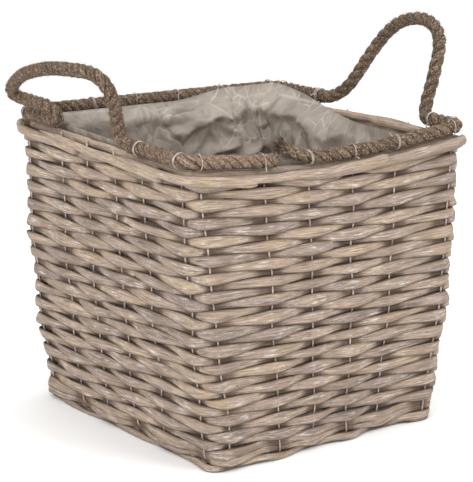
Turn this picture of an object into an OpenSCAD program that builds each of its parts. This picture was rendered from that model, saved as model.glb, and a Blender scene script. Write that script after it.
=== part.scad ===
// Square willow log basket: rods woven on steel wire stakes, a film liner, and one rope that makes
// the rim and both handles. The origin is the middle of the underside, +Z is up, the front wall
// faces -Y, and the handles stand on the left (-X) and right (+X) walls.

/* [Basket] */
// Width of the woven walls at the rim, left to right
top_w = 450; // [380:5:560]
// Depth of the woven walls at the rim, front to back
top_d = 450; // [420:5:560]
// Height from the floor to the top of the border rods
wall_h = 396; // [300:2:480]
// How far each wall leans inwards from the rim down to the floor
lean_in = 18; // [0:1:36]
// Outside corner radius at the rim
top_corner_r = 24; // [22:1:40]
// Outside corner radius at the floor
base_corner_r = 34; // [24:1:50]

/* [Weave] */
// Woven courses between the base border and the top border
courses = 31; // [24:1:36]
// Stakes in each wall, an even number so that over and under meet at the corners
stakes = 6; // [4:2:8]
// Gap beside a corner stake, as a multiple of the gaps between the middle stakes
corner_gap = 1.35; // [1:0.05:1.6]
// Diameter of the stake wire
wire_d = 2.5; // [2:0.1:3.5]
// Thickness of a woven rod
rod_t = 6; // [4:0.5:8]
// Width of a rod in the woven base
base_rod_w = 11.4; // [8:0.2:16]
// Thickness of a rod in the woven base
base_rod_t = 5; // [4:0.5:6]
// Diameter of the two border rods under the rope
border_d = 12; // [10:0.5:14]

/* [Rope] */
// Diameter of the rim and handle rope
rope_d = 20; // [16:0.5:22]
// Room between the rope and the border rods, where the tie wire passes
tie_room = 0.4; // [0.3:0.1:1]
// Front foot of the left handle, measured from the middle of the wall
left_front_foot = -98; // [-102:1:-90]
// Back foot of the left handle, where the rope folds back on itself
left_back_foot = 98; // [90:1:102]
// Front foot of the right handle
right_front_foot = -165; // [-172:1:-155]
// Back foot of the right handle
right_back_foot = 84; // [76:1:92]
// How far each handle stands out beyond the middle of the rim rope
handle_out = 58; // [50:1:66]

/* [Liner] */
// Wall thickness of the film liner's solid
liner_t = 1.2; // [0.8:0.1:2]
// How far the liner stands above the border rods
liner_above = 6; // [0:1:7]

/* [Hidden] */
function course_name(k) = str("course_", k < 10 ? "0" : "", k);

$fn = 24;

// Clearance between a wire and the rods that pass it
wire_gap = 0.6;
// Clearance between rods that lie on each other, and between the two bodies of a rope
rod_gap = 0.4;
wire_r = wire_d / 2;
rope_r = rope_d / 2;
border_r = border_d / 2;

// Distances from the plane of the stakes to the middle and to the far face of a woven rod
weave_mid = wire_r + wire_gap + rod_t / 2;
weave_face = weave_mid + rod_t / 2;
// Distance from the plane of the stakes to the middle of a border rod
border_off = wire_r + wire_gap + border_r;
border_z = wall_h - border_r;
rope_z = border_z + sqrt(pow(rope_r + border_r + wire_d + tie_room, 2) - pow(border_off, 2));

// Heights in the base: rods woven on the fore-aft wires, with the across wires lying on top
floor_gap = 0.5;
base_mid = wire_r + wire_gap + base_rod_t / 2;
fore_aft_z = floor_gap + base_mid + base_rod_t / 2;
across_z = fore_aft_z + base_mid + base_rod_t / 2 + rod_gap + wire_r;
weave_z = across_z + wire_r + wire_gap;
course_h = (border_z - border_r - rod_gap - weave_z) / courses;

// Half width and half depth of the stake plane, and its corner radius, at a height
function half_w(z) = top_w / 2 - weave_face - lean_in * (1 - z / wall_h);
function half_d(z) = top_d / 2 - weave_face - lean_in * (1 - z / wall_h);
function corner_r(z) = base_corner_r + (top_corner_r - base_corner_r) * z / wall_h - weave_face;
rim_w = half_w(wall_h);
rim_d = half_d(wall_h);
rim_corner = corner_r(wall_h);

// Place of stake j along a wall whose corner stakes stand at -reach and +reach
function stake_step(reach) = 2 * reach / (stakes - 3 + 2 * corner_gap);
function stake_at(j, reach) =
    j == 0 ? -reach :
    j == stakes - 1 ? reach :
    -reach + stake_step(reach) * (corner_gap + j - 1);
function stake_x(j, z) = stake_at(j, half_w(z) - corner_r(z));
function stake_y(j, z) = stake_at(j, half_d(z) - corner_r(z));

// Each wall: its turn about Z, and whether it runs along X
walls = [[0, true], [90, false], [180, true], [270, false]];
function along(wall, z) = wall[1] ? half_w(z) : half_d(z);
function out(wall, z) = wall[1] ? half_d(z) : half_w(z);

willow = [0.66, 0.58, 0.48];
pale_willow = [0.74, 0.64, 0.5];
steel = [0.62, 0.62, 0.6];
rope_brown = [0.46, 0.38, 0.3];
film = [0.78, 0.78, 0.75, 0.6];

// ---------- round tubes ----------

function unit(v) = v / norm(v);

// A tube of radius r and n sides along a path that lies nearly square to the direction flat.
// Its cross-sections face the directions in ways, or along the path where none are given.
module tube(path, flat, r, n, ways = []) {
    last = len(path) - 1;
    points = [for (i = [0:last])
        let(t = len(ways) > 0 ? ways[i] : unit(path[min(i + 1, last)] - path[max(i - 1, 0)]),
            e = unit(flat - (flat * t) * t), f = cross(t, e))
        for (k = [0:n - 1]) path[i] + r * (cos(360 * k / n) * e + sin(360 * k / n) * f)];
    sides = [for (i = [0:last - 1]) for (k = [0:n - 1])
        [(i + 1) * n + k, (i + 1) * n + (k + 1) % n, i * n + (k + 1) % n, i * n + k]];
    polyhedron(points, concat(sides, [[for (k = [0:n - 1]) k]], [[for (k = [n - 1:-1:0]) last * n + k]]));
}

// ---------- woven walls ----------

// Half the angle left open at each corner between the rods of two walls
corner_trim = 1.5;
// Angles round half a corner, from its middle to the straight wall
corner_steps = [45 - corner_trim, 30, 15, 0];

function corner_point(side, angle, mid, r, off) =
    [side * (mid.x + (r + off) * sin(angle)), mid.y + (r + off) * cos(angle)];

// One face of a woven rod, from corner to corner: shift is the face's distance from the rod's middle
function woven_face(reach, mid, r, first, shift) =
    let(last = first * (stakes % 2 == 0 ? -1 : 1))
    concat(
        [corner_point(-1, 45 - corner_trim, mid, r, shift)],
        [corner_point(-1, 22.5, mid, r, first * weave_mid * cos(45) + shift)],
        [for (j = [0:stakes - 2]) for (s = [0:2])
            let(a = stake_at(j, reach), b = stake_at(j + 1, reach), way = j % 2 == 0 ? first : -first)
            [a + (b - a) * s / 3, mid.y + r + way * weave_mid * cos(60 * s) + shift]],
        [[reach, mid.y + r + last * weave_mid + shift]],
        [corner_point(1, 22.5, mid, r, last * weave_mid * cos(45) + shift)],
        [corner_point(1, 45 - corner_trim, mid, r, shift)]
    );

function flip(list) = [for (i = [len(list) - 1:-1:0]) list[i]];

module woven_rod(wall, z, height, first) {
    r = corner_r(z);
    mid = [along(wall, z) - r, out(wall, z) - r];
    outer = woven_face(mid.x, mid, r, first, rod_t / 2);
    inner = woven_face(mid.x, mid, r, first, -rod_t / 2);
    rotate(wall[0]) linear_extrude(height) polygon(concat(outer, flip(inner)));
}

module course(k) {
    z = weave_z + (k - 1) * course_h;
    color(k % 3 == 0 ? pale_willow : willow)
        translate([0, 0, z])
            for (wall = walls)
                woven_rod(wall, z + course_h / 2, course_h - rod_gap, k % 2 == 0 ? 1 : -1);
}

// ---------- base ----------

base_border_h = (weave_z - rod_gap) / 2;

module plain_rod(wall, z, height) {
    r = corner_r(z);
    mid = [along(wall, z) - r, out(wall, z) - r];
    near = wire_r + wire_gap;
    outer = concat(
        [for (a = corner_steps) corner_point(-1, a, mid, r, weave_face)],
        [for (a = flip(corner_steps)) corner_point(1, a, mid, r, weave_face)]
    );
    inner = concat(
        [for (a = corner_steps) corner_point(1, a, mid, r, near)],
        [for (a = flip(corner_steps)) corner_point(-1, a, mid, r, near)]
    );
    rotate(wall[0]) linear_extrude(height) polygon(concat(outer, inner));
}

module base_border() {
    color(willow)
        for (layer = [0, 1])
            translate([0, 0, layer * (base_border_h + rod_gap)])
                for (wall = walls)
                    plain_rod(wall, layer * base_border_h, base_border_h - rod_gap * layer);
}

base_reach_d = half_d(fore_aft_z) - wire_r - wire_gap;
base_rods = floor(2 * base_reach_d / (base_rod_w + rod_gap));
base_pitch = 2 * base_reach_d / base_rods;

// How far a base rod reaches in X when its outer edge is at depth y, inside the rounded corner
function base_reach(y) =
    let(r = corner_r(fore_aft_z), over = max(0, abs(y) - half_d(fore_aft_z) + r))
    half_w(fore_aft_z) - wire_gap - r + sqrt(max(0, r * r - over * over));

function base_face(first, reach, shift) = concat(
    [[-reach, fore_aft_z + shift]],
    [for (j = [0:stakes - 2]) for (s = [0:2])
        let(a = stake_x(j, fore_aft_z), b = stake_x(j + 1, fore_aft_z), way = j % 2 == 0 ? first : -first)
        [a + (b - a) * s / 3, fore_aft_z + way * base_mid * cos(60 * s) + shift]],
    [[stake_x(stakes - 1, fore_aft_z), fore_aft_z - first * base_mid + shift]],
    [[reach, fore_aft_z + shift]]
);

module base_weave() {
    color(willow)
        for (i = [0:base_rods - 1])
            let(y = -base_reach_d + base_pitch * (i + 0.5), first = i % 2 == 0 ? 1 : -1,
                reach = base_reach(abs(y) + base_rod_w / 2))
            translate([0, y + base_rod_w / 2, 0])
                rotate([90, 0, 0])
                    linear_extrude(base_rod_w)
                        polygon(concat(base_face(first, reach, base_rod_t / 2),
                                       flip(base_face(first, reach, -base_rod_t / 2))));
}

// ---------- stake wires ----------

// A stake is left without rope where it stands between the two feet of a handle
function bare_left(y) = y > left_front_foot && y < left_back_foot;
function bare_right(y) = y > right_front_foot && y < right_back_foot;
tie_ring_r = rope_r + tie_room / 2 + wire_r;
tied_top = rope_z - tie_ring_r - wire_d;

// The bend from the base up into a wall, in the plane square to the wall: distance out, then height
function wire_bend(reach, low) = [for (a = [0:30:90])
    [reach - wire_d + wire_d * sin(a), low + wire_d - wire_d * cos(a)]];

// A bare stake's end bent over the outer border rod
function wire_hook(reach) = [for (a = [0:30:180])
    [reach + border_off * (1 - cos(a)), border_z + border_off * sin(a)]];

// Half of a U-shaped wire that runs along Y, from the base to its end: distance out, place, height
function fore_aft_half(j) = concat(
    [for (p = wire_bend(half_d(fore_aft_z), fore_aft_z)) [p[0], stake_x(j, fore_aft_z), p[1]]],
    [[half_d(tied_top), stake_x(j, tied_top), tied_top]]
);

// The same for a wire that runs along X, whose end is hooked where there is no rope
function across_half(j, bare) = concat(
    [for (p = wire_bend(half_w(across_z), across_z)) [p[0], stake_y(j, across_z), p[1]]],
    bare ? [for (p = wire_hook(half_w(border_z))) [p[0], stake_y(j, border_z), p[1]]]
         : [[half_w(tied_top), stake_y(j, tied_top), tied_top]]
);

// One U-shaped wire: down one wall, across the base and up the opposite wall
module wire_across(j) {
    y = stake_y(j, wall_h);
    left = across_half(j, bare_left(y));
    right = across_half(j, bare_right(y));
    color(steel)
        tube(concat(flip([for (p = left) [-p[0], p[1], p[2]]]), right), [0, 1, 0], wire_r, 8);
}

module wire_fore_aft(j) {
    half = fore_aft_half(j);
    color(steel)
        tube(concat(flip([for (p = half) [p[1], -p[0], p[2]]]), [for (p = half) [p[1], p[0], p[2]]]),
            [1, 0, 0], wire_r, 8);
}

// ---------- top border ----------

// Four rods, one per wall, that meet at the middle of each corner
module border_ring(off) {
    r = rim_corner + off;
    for (wall = walls)
        let(mid = [along(wall, wall_h) - rim_corner, out(wall, wall_h) - rim_corner],
            left = [for (a = corner_steps) corner_point(-1, a, mid, r, 0)],
            right = [for (a = corner_steps) corner_point(1, a, mid, r, 0)],
            ways = concat([for (a = corner_steps) [cos(a), sin(a), 0]],
                          [for (a = flip(corner_steps)) [cos(a), -sin(a), 0]]))
        rotate(wall[0])
            tube([for (p = concat(left, flip(right))) [p.x, p.y, border_z]], [0, 0, 1], border_r, 12, ways);
}

module border_outer() {
    color(pale_willow) border_ring(border_off);
}

module border_inner() {
    color(willow) border_ring(-border_off);
}

// ---------- liner ----------

liner_z = across_z + wire_r + rod_gap;
liner_top = wall_h + liner_above;
neck_z = border_z - border_r - 2 * rod_gap;
neck_low = neck_z - 14;
liner_off = -weave_face - wire_gap;
neck_off = -border_off - border_r - wire_gap;

module liner_slice(z, off) {
    r = max(corner_r(z) + off, 2);
    translate([0, 0, z])
        linear_extrude(0.01)
            hull()
                for (x = [-1, 1], y = [-1, 1])
                    translate([x * (half_w(z) + off - r), y * (half_d(z) + off - r)])
                        circle(r, $fn = 32);
}

module liner_shape(inset, low, high) {
    hull() {
        liner_slice(low, liner_off - inset);
        liner_slice(neck_low, liner_off - inset);
    }
    hull() {
        liner_slice(neck_low, liner_off - inset);
        liner_slice(neck_z, neck_off - inset);
    }
    hull() {
        liner_slice(neck_z, neck_off - inset);
        liner_slice(high, neck_off - inset);
    }
}

module liner() {
    color(film)
        difference() {
            liner_shape(0, liner_z, liner_top);
            liner_shape(liner_t, liner_z + liner_t, liner_top + 1);
        }
}

// ---------- rope ----------

// A smooth curve through hand-placed points
function through(p, steps) = concat(
    [for (i = [0:len(p) - 2]) for (s = [0:steps - 1])
        let(t = s / steps, a = p[max(i - 1, 0)], b = p[i], c = p[i + 1], d = p[min(i + 2, len(p) - 1)])
        0.5 * (2 * b + (c - a) * t + (2 * a - 5 * b + 4 * c - d) * t * t
            + (3 * b - a - 3 * c + d) * t * t * t)],
    [p[len(p) - 1]]
);

// The directions along a path, with those of its ends given where two ropes meet squarely
function headings(path, from, to) =
    let(last = len(path) - 1)
    [for (i = [0:last])
        i == 0 && len(from) > 0 ? from :
        i == last && len(to) > 0 ? to :
        unit(path[min(i + 1, last)] - path[max(i - 1, 0)])];

module rope(path, flat, from = [], to = []) {
    color(rope_brown) tube(path, flat, rope_r, 12, headings(path, from, to));
}

// Points round one corner of the rim, between two angles
function rim_turn(sx, sy, from, to) = [for (s = [0:6])
    let(a = from + (to - from) * s / 6, x = sx * (rim_w - rim_corner), y = sy * (rim_d - rim_corner))
    [x + rim_corner * cos(a), y + rim_corner * sin(a), rope_z]];

// The rope's lower end stops on the front border, and its upper end is laid beside and above it
lower_end_x = -84;
upper_end = [
    [-40, 0, 0],
    [-50, 2, 2],
    [-60, 6, 6],
    [-74, 12.5, 13.5],
    [-90, 16, 17]
];

module rim_rope_left() {
    rope(concat(
        [[-rim_w, left_front_foot - rod_gap, rope_z]],
        rim_turn(-1, -1, 180, 270),
        [[lower_end_x, -rim_d, rope_z]]
    ), [0, 0, 1]);
}

module rim_rope_right() {
    rope(concat(
        [[rim_w, right_front_foot - rod_gap, rope_z]],
        rim_turn(1, -1, 0, -90),
        [[-36, -rim_d, rope_z]],
        [for (p = upper_end) [p.x, -rim_d + p.y, rope_z + p.z]]
    ), [0, 0, 1]);
}

module rim_rope_back() {
    rope(concat(
        [[rim_w, right_back_foot + rod_gap, rope_z]],
        rim_turn(1, 1, 0, 90),
        rim_turn(-1, 1, 90, 180),
        [[-rim_w, left_back_foot + rod_gap, rope_z]]
    ), [0, 0, 1]);
}

// Handle routes: distance out from the rim, place along the wall from the front foot, height above
// the rim. The distances out are scaled to suit handle_out, and the places to suit the feet.
left_route = [
    [0, 0, 0],
    [0, 6, 0],
    [2, 13, 3],
    [6, 17, 10],
    [10, 17, 21],
    [16, 10, 38],
    [26, 0, 57],
    [37, -7, 75],
    [46, -3, 89],
    [51, 14, 97],
    [52, 50, 98],
    [49, 105, 92],
    [43, 165, 81],
    [34, 222, 64],
    [24, 268, 44],
    [15, 291, 30],
    [9, 284, 23.5],
    [8, 262, 22.5],
    [8, 230, 22.4],
    [8, 204, 22.4]
];
right_route = [
    [0, 0, 0],
    [0, 6, 0],
    [1, 12, 3],
    [4, 16, 12],
    [8, 16, 29],
    [14, 15, 51],
    [22, 17, 75],
    [31, 22, 97],
    [38, 34, 116],
    [43, 55, 128],
    [44, 84, 132],
    [41, 116, 125],
    [36, 140, 109],
    [29, 157, 88],
    [20, 170, 64],
    [12, 181, 42],
    [6, 194, 23],
    [2, 212, 9],
    [0, 231, 2],
    [0, 243, 0],
    [0, 249, 0]
];
// Spans between the feet at which the two routes are drawn
drawn_left_span = 196;
drawn_right_span = 249;
left_span = left_back_foot - left_front_foot;
right_span = right_back_foot - right_front_foot;
// The lean of both handles, which sets how the rope's sides are turned
handle_lean = 24;

function fitted(route, stretch) =
    let(widen = (handle_out - rope_r) / max([for (p = route) p.x]))
    [for (p = route) [p.x * widen, p.y * stretch, p.z]];

left_arch = fitted(left_route, left_span / drawn_left_span);
right_arch = fitted(right_route, right_span / drawn_right_span);

// The left rope lies back along the rim rope and folds down into it
fold = left_arch[len(left_arch) - 1];
fold_r = norm([fold.x, fold.z]) / 2;
fold_turn = [for (a = [20:20:180])
    [fold.x * (1 + cos(a)) / 2, left_span - fold_r * sin(a), fold.z * (1 + cos(a)) / 2]];

module rope_handle_left() {
    path = concat(through(left_arch, 2), [[fold.x, left_span, fold.z]], fold_turn);
    rope([for (p = path) [-rim_w - p.x, left_front_foot + p.y, rope_z + p.z]],
        [cos(handle_lean), 0, sin(handle_lean)], [0, 1, 0], [0, 1, 0]);
}

module rope_handle_right() {
    rope([for (p = through(right_arch, 2)) [rim_w + p.x, right_front_foot + p.y, rope_z + p.z]],
        [cos(handle_lean), 0, -sin(handle_lean)], [0, 1, 0], [0, 1, 0]);
}

// ---------- wire ties round the rope ----------

module tie_ring() {
    rotate_extrude() translate([tie_ring_r, 0]) circle(wire_r);
}

module rope_ties() {
    foot_tie = 6;
    left_y = [for (j = [0:stakes - 1]) if (!bare_left(stake_y(j, wall_h))) stake_y(j, wall_h)];
    right_y = concat(
        [right_front_foot - foot_tie, right_back_foot + foot_tie],
        [for (j = [0:stakes - 1]) if (!bare_right(stake_y(j, wall_h))) stake_y(j, wall_h)]
    );
    color(steel) {
        for (j = [0:stakes - 1], side = [-1, 1])
            translate([stake_x(j, wall_h), side * rim_d, rope_z]) rotate([0, 90, 0]) tie_ring();
        for (y = left_y) translate([-rim_w, y, rope_z]) rotate([90, 0, 0]) tie_ring();
        for (y = right_y) translate([rim_w, y, rope_z]) rotate([90, 0, 0]) tie_ring();
    }
}

base_border();
base_weave();
for (j = [1:stakes]) wire_across(j - 1);
for (j = [1:stakes]) wire_fore_aft(j - 1);
for (k = [1:courses]) course(k);
border_outer();
border_inner();
liner();
rope_ties();
rim_rope_left();
rim_rope_right();
rim_rope_back();
rope_handle_left();
rope_handle_right();
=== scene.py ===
"""Looks of a square willow log basket: its woven rods, rope, tie wires and film, built round its frame."""

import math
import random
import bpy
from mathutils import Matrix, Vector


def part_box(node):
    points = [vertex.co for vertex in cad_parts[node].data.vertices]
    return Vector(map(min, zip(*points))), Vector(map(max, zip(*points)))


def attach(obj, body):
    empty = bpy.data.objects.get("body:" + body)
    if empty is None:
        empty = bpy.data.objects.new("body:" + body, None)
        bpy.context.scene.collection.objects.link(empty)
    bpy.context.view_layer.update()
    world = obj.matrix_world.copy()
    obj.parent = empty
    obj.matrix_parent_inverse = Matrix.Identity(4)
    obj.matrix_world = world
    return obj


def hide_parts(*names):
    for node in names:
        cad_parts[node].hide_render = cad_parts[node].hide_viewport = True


bl_info = {
    "name": "Willow Log Basket",
    "version": (1, 0, 0),
    "blender": (4, 5, 0),
    "location": "3D View > Sidebar > Basket",
    "description": "Weaves the rods, lays the rope and hangs the film liner of a square willow basket",
    "category": "Object",
}

import bmesh
import bpy
import numpy as np
from bpy.props import FloatProperty, FloatVectorProperty, IntProperty, PointerProperty
from mathutils import Matrix, Vector, noise

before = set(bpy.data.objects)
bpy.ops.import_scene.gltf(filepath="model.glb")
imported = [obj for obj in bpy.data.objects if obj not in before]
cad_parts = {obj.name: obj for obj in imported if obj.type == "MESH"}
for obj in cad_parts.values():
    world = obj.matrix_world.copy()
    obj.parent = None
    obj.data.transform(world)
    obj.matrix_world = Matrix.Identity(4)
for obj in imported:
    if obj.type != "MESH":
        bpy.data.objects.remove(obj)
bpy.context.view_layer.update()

COURSES = sorted(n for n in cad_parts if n.startswith("course_"))
WIRES = sorted(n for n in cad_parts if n.startswith("wire_"))
STAKES = len([n for n in WIRES if n.startswith("wire_across_")])
ROUND = 4 * STAKES

# ---------- settings ----------


class WeaveSettings(bpy.types.PropertyGroup):
    """Sizes and colours of the willow."""

    rod_thickness: FloatProperty(
        name="Rod thickness", description="How thick a woven rod is", default=0.0047, unit="LENGTH"
    )
    wire_room: FloatProperty(
        name="Room for the wire",
        description="From the middle of a stake to a rod",
        default=0.0014,
        unit="LENGTH",
    )
    bulge: FloatProperty(
        name="Bulge",
        description="How much a rod widens where it passes outside a stake",
        default=0.42,
        subtype="FACTOR",
    )
    base_corner: FloatProperty(
        name="Floor corner", description="Outside corner radius at the floor", default=0.034, unit="LENGTH"
    )
    rim_corner: FloatProperty(
        name="Rim corner", description="Outside corner radius at the rim", default=0.024, unit="LENGTH"
    )
    corner_gap: FloatProperty(
        name="Corner gap",
        description="Gap beside a corner stake, in gaps between middle stakes",
        default=1.35,
    )
    tan: FloatVectorProperty(
        name="Tan", description="Colour of the warmest rods", default=(0.41, 0.31, 0.215), subtype="COLOR"
    )
    grey: FloatVectorProperty(
        name="Grey",
        description="Colour of the most weathered rods",
        default=(0.245, 0.19, 0.155),
        subtype="COLOR",
    )
    wash: FloatVectorProperty(
        name="Wash",
        description="Colour of the chalky wash on the rods",
        default=(0.72, 0.67, 0.62),
        subtype="COLOR",
    )


class RopeSettings(bpy.types.PropertyGroup):
    """Sizes and colours of the rope and its ties."""

    diameter: FloatProperty(
        name="Diameter", description="Diameter of the rope", default=0.019, unit="LENGTH"
    )
    lay: FloatProperty(
        name="Lay", description="Length of one full turn of the strands", default=0.046, unit="LENGTH"
    )
    hairs: IntProperty(name="Hairs", description="Loose fibres on each metre of rope", default=2800)
    brown: FloatVectorProperty(
        name="Brown", description="Colour of the rope", default=(0.088, 0.059, 0.039), subtype="COLOR"
    )
    tie_wire: FloatProperty(
        name="Tie wire", description="Diameter of a tie wire", default=0.0012, unit="LENGTH"
    )


class LinerSettings(bpy.types.PropertyGroup):
    """Sizes and colour of the film liner."""

    cut: FloatProperty(
        name="Cut", description="Side of the square film it was cut from", default=0.95, unit="LENGTH"
    )
    billow: FloatProperty(
        name="Billow", description="How far the film bellies inwards", default=0.014, unit="LENGTH"
    )
    tint: FloatVectorProperty(
        name="Tint", description="Colour of the film", default=(0.33, 0.285, 0.24), subtype="COLOR"
    )


class StageSettings(bpy.types.PropertyGroup):
    """Where the camera stands."""

    turn: FloatProperty(
        name="Turn",
        description="Camera's angle round the basket",
        default=math.radians(-33.7),
        subtype="ANGLE",
    )
    rise: FloatProperty(
        name="Rise",
        description="Camera's angle above the floor",
        default=math.radians(14.0),
        subtype="ANGLE",
    )
    distance: FloatProperty(
        name="Distance", description="Camera to basket", default=2.608, unit="LENGTH"
    )


# ---------- the shape of the walls ----------


def middle_and_reach(name):
    """Height of a course's middle, and how far it reaches along X and Y."""
    low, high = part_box(name)
    return (low.z + high.z) / 2, high.x, high.y


LOWEST, HIGHEST = middle_and_reach(COURSES[0]), middle_and_reach(COURSES[-1])
WALL_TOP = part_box("border_outer")[1].z
# From the plane of the stakes to the outside of a woven rod in the frame
FACE = 0.00785


def wall_size(z):
    """Half width and half depth of the plane of the stakes at a height."""
    t = (z - LOWEST[0]) / (HIGHEST[0] - LOWEST[0])
    return tuple(LOWEST[k] + (HIGHEST[k] - LOWEST[k]) * t - FACE for k in (1, 2))


def corner_radius(z):
    """Corner radius of the plane of the stakes at a height."""
    weave = bpy.context.scene.basket_weave
    return weave.base_corner + (weave.rim_corner - weave.base_corner) * z / WALL_TOP - FACE


def stake_place(j, reach):
    """Place of stake j along a wall, between -reach and +reach."""
    gap = bpy.context.scene.basket_weave.corner_gap
    step = 2 * reach / (STAKES - 3 + 2 * gap)
    return np.where(j <= 0, -reach, np.where(j >= STAKES - 1, reach, -reach + step * (gap + j - 1)))


def on_wall(s, z):
    """Points of the stake plane and its outward directions. s counts stakes round the basket, from the back
    wall's left corner past the right, front and left walls."""
    s, z = np.broadcast_arrays(np.asarray(s, float), np.asarray(z, float))
    whole = np.floor(s)
    t = s - whole
    i = whole.astype(int) % ROUND
    wall, j = i // STAKES, i % STAKES
    half_w, half_d = wall_size(z)
    even = wall % 2 == 0
    along, out = np.where(even, half_w, half_d), np.where(even, half_d, half_w)
    r = corner_radius(z)
    reach = along - r
    straight = j < STAKES - 1
    u = stake_place(j, reach) * (1 - t) + stake_place(j + 1, reach) * t
    a = np.where(straight, 0.0, t * math.pi / 2)
    x = np.where(straight, u, reach + r * np.sin(a))
    y = np.where(straight, out, out - r + r * np.cos(a))
    turn = -wall * math.pi / 2
    c, d = np.cos(turn), np.sin(turn)
    points = np.stack([x * c - y * d, x * d + y * c, z], -1)
    ways = np.stack([np.sin(a) * c - np.cos(a) * d, np.sin(a) * d + np.cos(a) * c, 0 * z], -1)
    return points, ways


# How far the weaver's hands left the basket from square and true, in metres
FRONT_SAG = 0.0115
FOOT_RIGHT, FOOT_FORWARD = 0.015, 0.028
RIM_LIFT = 0.0045
WORN_FOOT = 0.0035
WALL_WAVE = 0.0022
RAGGED_EDGE = 0.0014
# How much wider the walls are half way up, as a share
BELLY = 0.026


def hand_made(p):
    """Points of a true square basket, moved to where the weaver's hands left them."""
    p = np.array(p, float)
    x, y, z = p[:, 0].copy(), p[:, 1].copy(), p[:, 2].copy()
    up = np.clip(z / WALL_TOP, 0, 1.05)
    # The front of the rim sags
    front = step_up(-y, 0.10, 0.205)
    p[:, 2] -= FRONT_SAG * front * np.clip(1 - (x / 0.213) ** 2, 0, 1) * up**1.5
    # The near foot stands out to the right and forwards
    foot = step_up(-x, -0.16, 0.2) * step_up(-y, -0.16, 0.2) * (1 - up)
    p[:, 0] += FOOT_RIGHT * foot
    p[:, 1] -= FOOT_FORWARD * foot
    # The back and the right-hand end of the rim stand a little higher, and the right-hand foot is worn
    raised = np.clip(step_up(y, -0.08, 0.2) + step_up(x, 0.0, 0.22), 0, 1)
    p[:, 2] += RIM_LIFT * raised * up**3
    p[:, 2] += WORN_FOOT * step_up(x - y, 0.28, 0.41) * (1 - up) ** 3 * (z > 0.0)
    belly = 1 + BELLY * np.sin(math.pi * np.clip(up, 0, 1)) ** 1.2
    p[:, :2] *= belly[:, None]
    # The walls are uneven
    outermost = np.maximum(abs(x) / 0.2, abs(y) / 0.2)
    wall = step_up(outermost, 0.8, 0.98) * step_up(WALL_TOP - 0.012 - z, 0, 0.08)
    across = np.sin(x * 41 + z * 23 + 1.2) * np.sin(z * 31 - y * 12) + 0.6 * np.sin(y * 53 + z * 37)
    along = np.sin(x * 47 - z * 29) * np.cos(z * 26) + 0.6 * np.sin(x * 23 + z * 61)
    p[:, 0] += np.sign(x) * wall * WALL_WAVE * across
    p[:, 1] += np.sign(y) * wall * WALL_WAVE * along
    # The bottom edge is ragged
    low = 1 - step_up(z, 0.0, 0.07)
    ragged = np.sin(x * 43 + 0.7) + np.sin(y * 39 + 2.1) + 0.7 * np.sin((x - y) * 97)
    p[:, 2] += low * np.maximum(RAGGED_EDGE * ragged, -0.9 * z) * (z > 0.0)
    # Nothing reaches below the floor
    p[:, 2] = np.maximum(p[:, 2], 0.0003)
    return p


def step_up(x, low, high):
    """A smooth step from 0 at low to 1 at high."""
    t = np.clip((x - low) / (high - low), 0, 1)
    return t * t * (3 - 2 * t)


# ---------- swept pieces ----------


def unit(v):
    """Each vector at a length of 1."""
    return v / np.maximum(np.linalg.norm(v, axis=-1, keepdims=True), 1e-12)


def rings_round(points, out, height, thick, twist=0.0, sides=10, back=1.0, square=1.0):
    """Rings of points round a line. height is measured square to out, thick along it, back is the share
    of the thickness on the side away from out, and square is 1 for a round rod and less for a flat one."""
    way = unit(np.gradient(points, axis=0))
    out = unit(out - (out * way).sum(-1, keepdims=True) * way)
    up = np.cross(way, out)
    angle = np.linspace(0, 2 * math.pi, sides, endpoint=False)
    c, s = np.cos(angle), np.sin(angle)
    c, s = np.sign(c) * abs(c) ** square, np.sign(s) * abs(s) ** square
    s = np.where(s < 0, s * back, s)
    n = len(points)
    a = np.broadcast_to(np.asarray(height, float), n)[:, None] / 2 * c
    b = np.broadcast_to(np.asarray(thick, float), n)[:, None] / 2 * s
    tw = np.broadcast_to(np.asarray(twist, float), n)[:, None]
    a, b = a * np.cos(tw) - b * np.sin(tw), a * np.sin(tw) + b * np.cos(tw)
    return points[:, None] + up[:, None] * a[..., None] + out[:, None] * b[..., None]


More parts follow.
